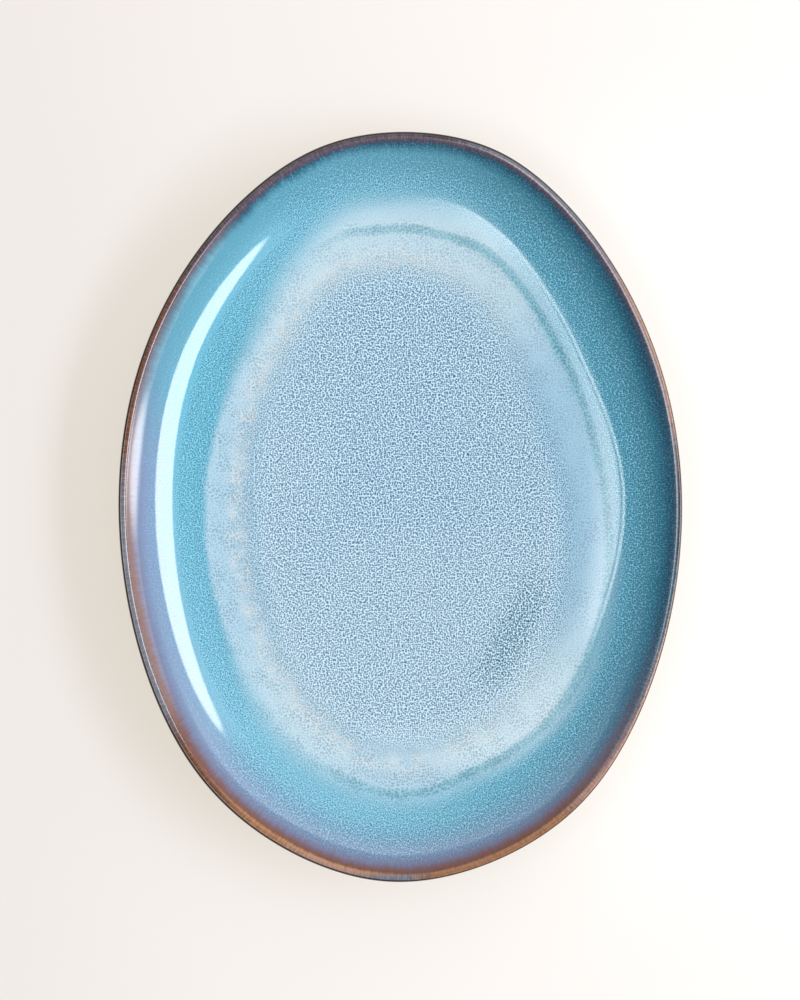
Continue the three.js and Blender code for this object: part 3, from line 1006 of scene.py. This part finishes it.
def table_look(name):
    """A white table with a soft shadow, whose glow is painted light, rising towards the window and beside
    the platter, and is dimmed under the platter as painted shadow.
    """
    n = Nodes(bpy.data.materials.new(name))
    rays = n.add("ShaderNodeLightPath", {}).outputs
    seen = n.larger(n.larger(rays["Is Camera Ray"], rays["Is Glossy Ray"]), rays["Is Transmission Ray"])
    place = n.add("ShaderNodeTexCoord", {}).outputs["Object"]
    across = n.dot(place, (1.0, 0.0, 0.0))
    along = n.math("ABSOLUTE", n.dot(place, (0.0, 1.0, 0.0)))
    # Painted light: the glow rises towards the window and beside the platter on the window's side
    nearness = n.math("ADD", across, 0.19, clamp=True)
    beside = n.times(n.fade(across, 0.02, 0.14, 0.0, 0.2), n.fade(along, 0.24, 0.12))
    glow_colour = n.mix(n.plus(nearness, beside), TABLE_GLOW, GLOW_RISE, "ADD")
    # Painted shadow: the glow dims under the platter
    outline_share = n.vector("DIVIDE", place, (WIDTH / 2, LENGTH / 2, 1.0))
    outline_share = n.math("SQRT", n.dot(outline_share, outline_share))
    shade_under_platter = n.fade(outline_share, 0.98, 0.6, 1.0, 0.3)
    lit = n.add("ShaderNodeBsdfDiffuse", {"Color": TABLE_WHITE})
    soft = n.add("ShaderNodeBsdfDiffuse", {"Color": TABLE_SOFT})
    glow = n.add("ShaderNodeEmission", {"Color": glow_colour, "Strength": shade_under_platter})
    both = n.add("ShaderNodeAddShader", {0: soft.outputs[0], 1: glow.outputs[0]})
    shown = n.add("ShaderNodeMixShader", {0: seen, 1: lit.outputs[0], 2: both.outputs[0]})
    n.add("ShaderNodeOutputMaterial", {0: shown.outputs[0]})
    return bpy.data.materials[name]


table_mesh.materials.append(table_look("table"))


# Room light as radiance by direction, in degrees: pale walls and the lights that the glaze reflects

world = bpy.data.worlds.new("room")
bpy.context.scene.world = world
room = Nodes(world)
towards = room.add("ShaderNodeTexCoord", {}).outputs["Generated"]
from_zenith = room.angle(towards, (0.0, 0.0, 1.0))


def turn_from(azimuth):
    """Degrees round the room from an azimuth."""
    ahead = room.dot(towards, bearing_vector(azimuth))
    aside = room.dot(towards, bearing_vector(azimuth + 90))
    return room.math("DEGREES", room.math("ARCTAN2", aside, ahead))


def away_from(azimuth, zenith, wide, tall):
    """How far a direction lies from the middle of an oval in the room; one at its edge."""
    sideways = room.times(turn_from(azimuth), 2 / wide)
    upright = room.times(room.minus(from_zenith, zenith), 2 / tall)
    return room.math("SQRT", room.plus(room.times(sideways, sideways), room.times(upright, upright)))


def away_from_axis(azimuth, zenith, wide):
    """The same for a round shape overhead."""
    a, z = math.radians(azimuth), math.radians(zenith)
    axis = (math.cos(a) * math.sin(z), math.sin(a) * math.sin(z), math.cos(z))
    return room.times(room.angle(towards, axis), 2 / wide)


def even_light(away, softness, radiance):
    """An even light with a soft edge."""
    return room.fade(away, 1 + softness, 1 - softness, 0.0, radiance)


# Pale walls, dark near the horizon except on the window's side
walls = room.fade(from_zenith, 69.0, 66.0, 0.15, 0.46)
walls = room.times(walls, room.fade(from_zenith, 6.0, 30.0, 0.3, 1.0))
window_side = room.fade(room.dot(towards, bearing_vector(-8)), 0.79, 0.87)
horizon = room.times(window_side, room.fade(from_zenith, 74.2, 75.2, 0.0, 1.7))

# A paler wall beside the window, brightest along its top
wall_top = room.band(from_zenith, 50.0, 65.0, 65.8, 66.6)
wall_top = room.times(wall_top, room.band(turn_from(60), -60.0, -25.0, 25.0, 70.0))
pale_wall = room.band(from_zenith, 10.0, 30.0, 65.8, 66.6)
pale_wall = room.times(pale_wall, room.band(turn_from(90), -85.0, -50.0, 50.0, 85.0))
pale_wall = room.plus(room.times(pale_wall, 0.6), wall_top)

# A window and the bright sill below it
window = even_light(away_from(azimuth=-6, zenith=51, wide=74, tall=14.4), softness=0.06, radiance=10.8)
sill = even_light(away_from(azimuth=-5, zenith=77.5, wide=14, tall=9), softness=0.5, radiance=9.0)

# A ceiling with a bright far end, creased along its edge, and the viewer's dark shape in front of it
far_turn = turn_from(182)
far_edge = room.fade(room.math("ABSOLUTE", far_turn), 20.0, 0.0, 31.3, 40.5)
far_edge = room.plus(far_edge, room.fade(far_turn, 28.0, 44.0, 0.0, 2.4))
beyond = room.minus(from_zenith, far_edge)
crease = room.band(beyond, -4.4, -3.3, -2.6, -1.8)
crease = room.times(crease, room.fade(far_turn, 38.0, 24.0, 0.0, -0.95))
verge = room.fade(beyond, -2.6, -1.8, 1.0, 1.3)
far_end = room.times(room.fade(beyond, 0.7, -0.7, 0.0, 5.4), room.plus(verge, crease))
far_end = room.times(far_end, room.band(far_turn, -21.0, -12.0, 42.0, 90.0))
ceiling = even_light(away_from_axis(azimuth=205, zenith=8.5, wide=54), softness=0.12, radiance=1.25)
beside_viewer = room.fade(from_zenith, 9.0, 34.0)
overhead = room.times(room.plus(far_end, ceiling), beside_viewer)

lamps = room.plus(window, sill)
light = room.plus(room.plus(walls, horizon), room.plus(lamps, room.plus(pale_wall, overhead)))
sky = room.add("ShaderNodeBackground", {"Strength": light})
room.add("ShaderNodeOutputWorld", {0: sky.outputs[0]})

# Camera straight above, level with the photo's frame
CAMERA_DISTANCE = 2.0
FRAME_HEIGHT = 0.4931
FRAME_MIDDLE = (-0.00015, 0.0034)
camera = bpy.data.cameras.new("camera")
camera.lens = camera.sensor_width * CAMERA_DISTANCE / FRAME_HEIGHT
viewer = bpy.data.objects.new("camera", camera)
viewer.location = (*FRAME_MIDDLE, outer_lip[1] + CAMERA_DISTANCE)
bpy.context.scene.collection.objects.link(viewer)
bpy.context.scene.camera = viewer
bpy.context.scene.view_settings.view_transform = "Standard"
